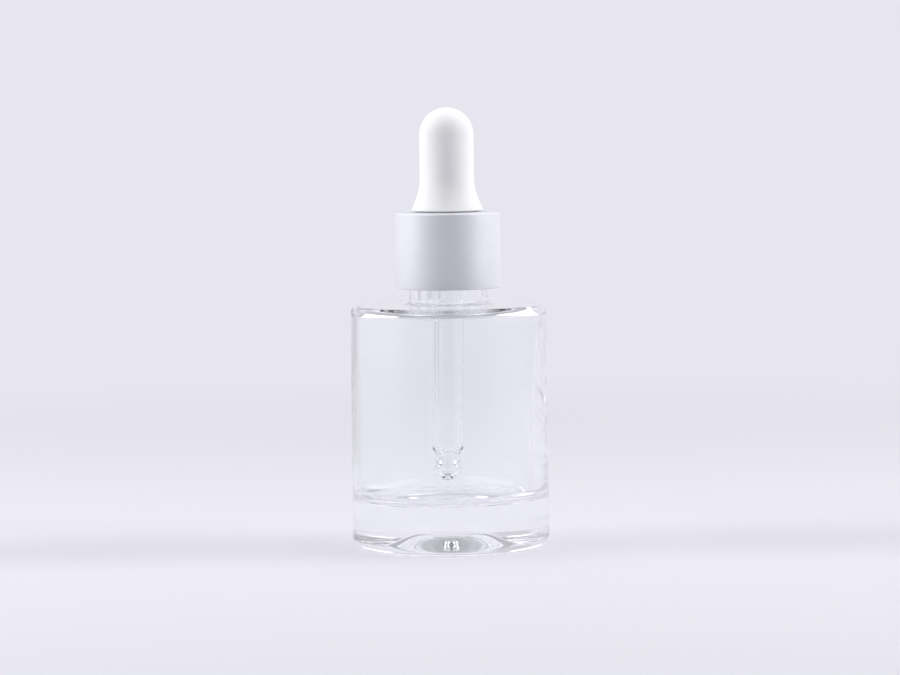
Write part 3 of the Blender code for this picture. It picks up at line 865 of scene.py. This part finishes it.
def room_level(tree, across, away):
    """How bright the room is: dim in front, brightest straight behind, a little dim left of that."""
    front = ramp(tree, away, *front_span, 1.0, tent_front)
    from_left = calc(tree, "ABSOLUTE", calc(tree, "SUBTRACT", across, left_heading))
    left = ramp(tree, from_left, *left_span, tent_left, 1.0)
    left = calc(tree, "MAXIMUM", left, ramp(tree, away, 0.4, 0.0))  # only in the back half
    back = ramp(tree, away, *back_span, 1.0, tent_back)
    return calc(tree, "MULTIPLY", calc(tree, "MULTIPLY", front, left), back)


def floor_material():
    """Pale paper with a soft band of painted shade across it under the bottle. It fades into the background.
    """
    values = {"Roughness": 0.6, "Specular IOR Level": 0.0, "Emission Color": (*background, 1.0)}
    material, tree, shader = new_material("pale_paper", values)
    place = add_node(tree, "ShaderNodeTexCoord").outputs["Object"]
    parts = add_node(tree, "ShaderNodeSeparateXYZ", {0: place}).outputs
    across = calc(tree, "ADD", parts[1], calc(tree, "MULTIPLY", parts[0], shade_band_skew))
    # Painted shade: the paper's colour turns darker in a soft band across the floor under the bottle.
    shade_band = ramp(tree, calc(tree, "ABSOLUTE", across), shade_band_half_width, 0.0)
    fibre = add_node(tree, "ShaderNodeTexNoise", {"Vector": place, "Scale": 900.0, "Detail": 3.0}).outputs[0]
    mix = {0: shade_band, 6: paper, 7: painted_shade_color}
    color = add_node(tree, "ShaderNodeMix", mix, data_type="RGBA").outputs[2]
    bump = add_node(tree, "ShaderNodeBump", {"Height": fibre, "Distance": 0.00001}).outputs[0]
    away = add_node(tree, "ShaderNodeVectorMath", {0: place}, operation="LENGTH").outputs["Value"]
    near = ramp(tree, away, *floor_fade, 1.0, 0.0)
    mix = {0: near, 6: (0.0, 0.0, 0.0, 1.0), 7: color}
    faded = add_node(tree, "ShaderNodeMix", mix, data_type="RGBA").outputs[2]
    ray = add_node(tree, "ShaderNodeLightPath").outputs
    heading = add_node(tree, "ShaderNodeVectorMath", {0: place}, operation="NORMALIZE").outputs[0]
    heading = add_node(tree, "ShaderNodeSeparateXYZ", {0: heading}).outputs
    hidden = calc(tree, "SUBTRACT", 1.0, ray["Is Camera Ray"])
    dimmer = calc(tree, "SUBTRACT", room_level(tree, heading[0], heading[1]), 1.0)
    level = calc(tree, "ADD", 1.0, calc(tree, "MULTIPLY", hidden, dimmer))
    level = calc(tree, "SUBTRACT", level, calc(tree, "MULTIPLY", ray["Is Diffuse Ray"], 1.0 - fill_level))
    glow = calc(tree, "MULTIPLY", calc(tree, "SUBTRACT", 1.0, near), level)
    tree.links.new(faded, shader.inputs["Base Color"])
    tree.links.new(glow, shader.inputs["Emission Strength"])
    tree.links.new(bump, shader.inputs["Normal"])
    return material


def make_floor():
    """One large flat triangle under the bottle, just below what it stands on."""
    shape = bmesh.new()
    bmesh.ops.create_circle(shape, cap_ends=True, segments=3, radius=floor_radius)
    mesh = bpy.data.meshes.new("floor")
    shape.to_mesh(mesh)
    shape.free()
    for vertex in mesh.vertices:
        vertex.co.z = -touching
    floor = bpy.data.objects.new("floor", mesh)
    bpy.context.scene.collection.objects.link(floor)
    mesh.materials.append(floor_material())
    return floor


def soft_light(name, place, size, power):
    """A large light that faces the bottle. Only matt surfaces get its light, and it isn't seen itself."""
    data = bpy.data.lights.new(name, "AREA")
    data.shape = "RECTANGLE"
    data.size, data.size_y = size
    data.energy = power
    light = bpy.data.objects.new(name, data)
    light.location = place
    light.rotation_euler = (light_aim - light.location).to_track_quat("-Z", "Y").to_euler()
    light.visible_camera = False
    light.visible_glossy = False
    light.visible_transmission = False
    bpy.context.scene.collection.objects.link(light)


def make_world():
    """An even background, and the room that glass and satin mirror. Matt surfaces get a weaker light."""
    world = bpy.data.worlds.new("studio")
    bpy.context.scene.world = world
    world.use_nodes = True
    tree = world.node_tree
    shader = tree.nodes["Background"]
    ray = add_node(tree, "ShaderNodeLightPath").outputs
    heading = add_node(tree, "ShaderNodeTexCoord").outputs["Generated"]
    parts = add_node(tree, "ShaderNodeSeparateXYZ", {0: heading}).outputs
    room = room_level(tree, parts[0], parts[1])
    roof = ramp(tree, parts[2], *roof_span, 1.0, tent_roof)
    out = calc(tree, "ABSOLUTE", parts[0])
    panel = calc(tree, "MULTIPLY", ramp(tree, out, *panel_inner_span), ramp(tree, out, *panel_outer_span))
    panel = calc(tree, "MULTIPLY", panel, ramp(tree, parts[2], *panel_low_span))
    panel = calc(tree, "MULTIPLY", panel, ramp(tree, parts[2], *panel_high_span))
    panel = calc(tree, "MULTIPLY", panel, tent_panel)
    mirrored = calc(tree, "ADD", calc(tree, "MINIMUM", room, roof), panel)
    hidden = calc(tree, "SUBTRACT", 1.0, ray["Is Camera Ray"])
    seen = calc(tree, "ADD", 1.0, calc(tree, "MULTIPLY", hidden, calc(tree, "SUBTRACT", mirrored, 1.0)))
    matt = calc(tree, "SUBTRACT", fill_level, seen)
    level = calc(tree, "ADD", seen, calc(tree, "MULTIPLY", ray["Is Diffuse Ray"], matt))
    tree.links.new(level, shader.inputs["Strength"])
    shader.inputs["Color"].default_value = (*background, 1.0)


make_floor()
make_world()
soft_light("left_light", (-0.60, -0.07, 0.25), (0.45, 0.60), 4.0)
soft_light("right_light", (0.60, -0.07, 0.25), (0.45, 0.60), 3.8)
soft_light("top_light", (0.0, 0.15, 0.80), (0.70, 0.50), 3.0)


# ------------------------------------------------------------------------------------------------
# Camera: a long lens a little above the shoulder, looking slightly down and not quite level.
# ------------------------------------------------------------------------------------------------

camera_place = (0.0, -0.796, 0.104)
camera_tilt = math.radians(4.49)
camera_pan = math.radians(-0.017)
camera_roll = math.radians(-0.714)

camera_data = bpy.data.cameras.new("camera")
camera_data.sensor_width = 36.0
camera_data.lens = 160.9
camera_data.clip_start = 0.01
camera_data.clip_end = 20.0
camera = bpy.data.objects.new("camera", camera_data)
camera.matrix_world = (
    Matrix.Translation(camera_place)
    @ Matrix.Rotation(camera_pan, 4, "Z")
    @ Matrix.Rotation(math.pi / 2 - camera_tilt, 4, "X")
    @ Matrix.Rotation(camera_roll, 4, "Z")
)
bpy.context.scene.collection.objects.link(camera)
bpy.context.scene.camera = camera
bpy.context.scene.view_settings.view_transform = "Standard"

# Light goes through up to eight walls of glass here, and back and forth between them.
bpy.context.scene.cycles.max_bounces = 40
bpy.context.scene.cycles.glossy_bounces = 32
bpy.context.scene.cycles.transmission_bounces = 32
